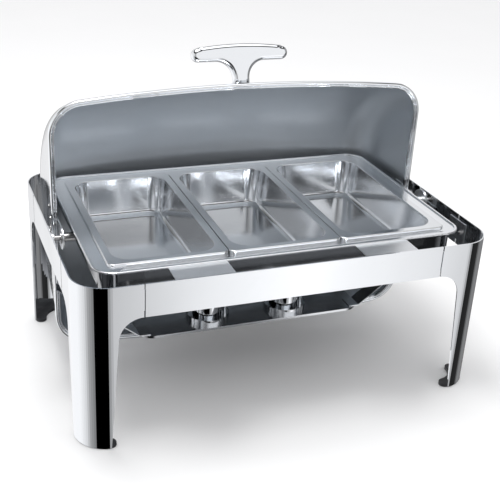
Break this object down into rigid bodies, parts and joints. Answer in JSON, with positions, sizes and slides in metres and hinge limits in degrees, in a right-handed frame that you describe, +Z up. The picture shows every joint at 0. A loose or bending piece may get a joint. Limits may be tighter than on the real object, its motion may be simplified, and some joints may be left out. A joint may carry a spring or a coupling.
{
  "type": "roll top chafer",
  "caption": "Stainless steel roll top chafing dish: pans over a water bath in a legged stand, with a domed lid that turns down behind the pans and fuel cups on a hanging shelf.",
  "frame": {"origin": "on the table below the middle of the stand", "axes": "+Z up, the serving side faces -Y, +X to the right as seen from the front; the lid is open"},
  "size_m": [0.643, 0.442, 0.5029],
  "materials": {
    "polished_steel": "mirror polished stainless steel",
    "lid_steel": "satin inside, polished outside",
    "bright_trim": "mirror polished",
    "food_pan_steel": "satin stainless steel",
    "water_pan_steel": "polished stainless steel",
    "shelf_steel": "polished stainless steel",
    "cup_steel": "polished stainless steel",
    "bracket_steel": "brushed stainless steel",
    "fastener_steel": "zinc plated steel",
    "foot_rubber": "matt black rubber"
  },
  "bodies": {
    "stand": {"front_left_leg": "polished_steel", "front_right_leg": "polished_steel", "rear_left_leg": "polished_steel", "rear_right_leg": "polished_steel", "front_panel": "polished_steel", "rear_panel": "polished_steel", "left_panel": "polished_steel", "right_panel": "polished_steel", "seam_plates": "bracket_steel", "seam_studs": "fastener_steel", "seam_nuts": "fastener_steel", "foot_pads": "foot_rubber", "left_pan_tab": "bracket_steel", "right_pan_tab": "bracket_steel", "pan_carrier": "bracket_steel", "left_pivot_bracket": "bracket_steel", "right_pivot_bracket": "bracket_steel", "pivot_pins": "fastener_steel", "pivot_spacers": "fastener_steel", "pivot_washers": "fastener_steel", "pivot_nuts": "fastener_steel", "fuel_shelf": "shelf_steel", "left_shelf_hanger": "shelf_steel", "right_shelf_hanger": "shelf_steel", "hanger_studs": "fastener_steel", "hanger_nuts": "fastener_steel"},
    "roll_top": {"lid_shell": "lid_steel", "lid_rim": "bright_trim", "lid_handle": "bright_trim", "handle_screws": "fastener_steel", "handle_washers": "fastener_steel", "left_hinge_ear": "bracket_steel", "right_hinge_ear": "bracket_steel", "ear_rivets": "fastener_steel"},
    "water_bath": {"water_pan": "water_pan_steel"},
    "food_left": {"left_food_pan": "food_pan_steel"},
    "food_middle": {"middle_food_pan": "food_pan_steel"},
    "food_right": {"right_food_pan": "food_pan_steel"},
    "burner_left": {"left_fuel_cup": "cup_steel", "left_snuffer_pin": "fastener_steel"},
    "burner_right": {"right_fuel_cup": "cup_steel", "right_snuffer_pin": "fastener_steel"},
    "cover_left": {"left_snuffer": "cup_steel"},
    "cover_right": {"right_snuffer": "cup_steel"}
  },
  "joints": [
    {"name": "lid_hinge", "type": "hinge", "parent": "stand", "child": "roll_top", "pos_m": [0, 0, 0.235], "axis": [1, 0, 0], "range_deg": [0, 90]},
    {"name": "water_pan_lift", "type": "slide", "parent": "stand", "child": "water_bath", "axis": [0, 0, 1], "range_m": [0, 0.02]},
    {"name": "left_food_pan_lift", "type": "slide", "parent": "water_bath", "child": "food_left", "axis": [0, 0, 1], "range_m": [0, 0.045]},
    {"name": "middle_food_pan_lift", "type": "slide", "parent": "water_bath", "child": "food_middle", "axis": [0, 0, 1], "range_m": [0, 0.045]},
    {"name": "right_food_pan_lift", "type": "slide", "parent": "water_bath", "child": "food_right", "axis": [0, 0, 1], "range_m": [0, 0.045]},
    {"name": "left_cup_lift", "type": "slide", "parent": "stand", "child": "burner_left", "axis": [0, 0, 1], "range_m": [0, 0.02]},
    {"name": "right_cup_lift", "type": "slide", "parent": "stand", "child": "burner_right", "axis": [0, 0, 1], "range_m": [0, 0.02]},
    {"name": "left_snuffer_swing", "type": "hinge", "parent": "burner_left", "child": "cover_left", "pos_m": [-0.037, -0.014, 0.118], "axis": [0, 0, -1], "range_deg": [0, 100]},
    {"name": "right_snuffer_swing", "type": "hinge", "parent": "burner_right", "child": "cover_right", "pos_m": [0.099, -0.014, 0.118], "axis": [0, 0, -1], "range_deg": [0, 100]}
  ]
}
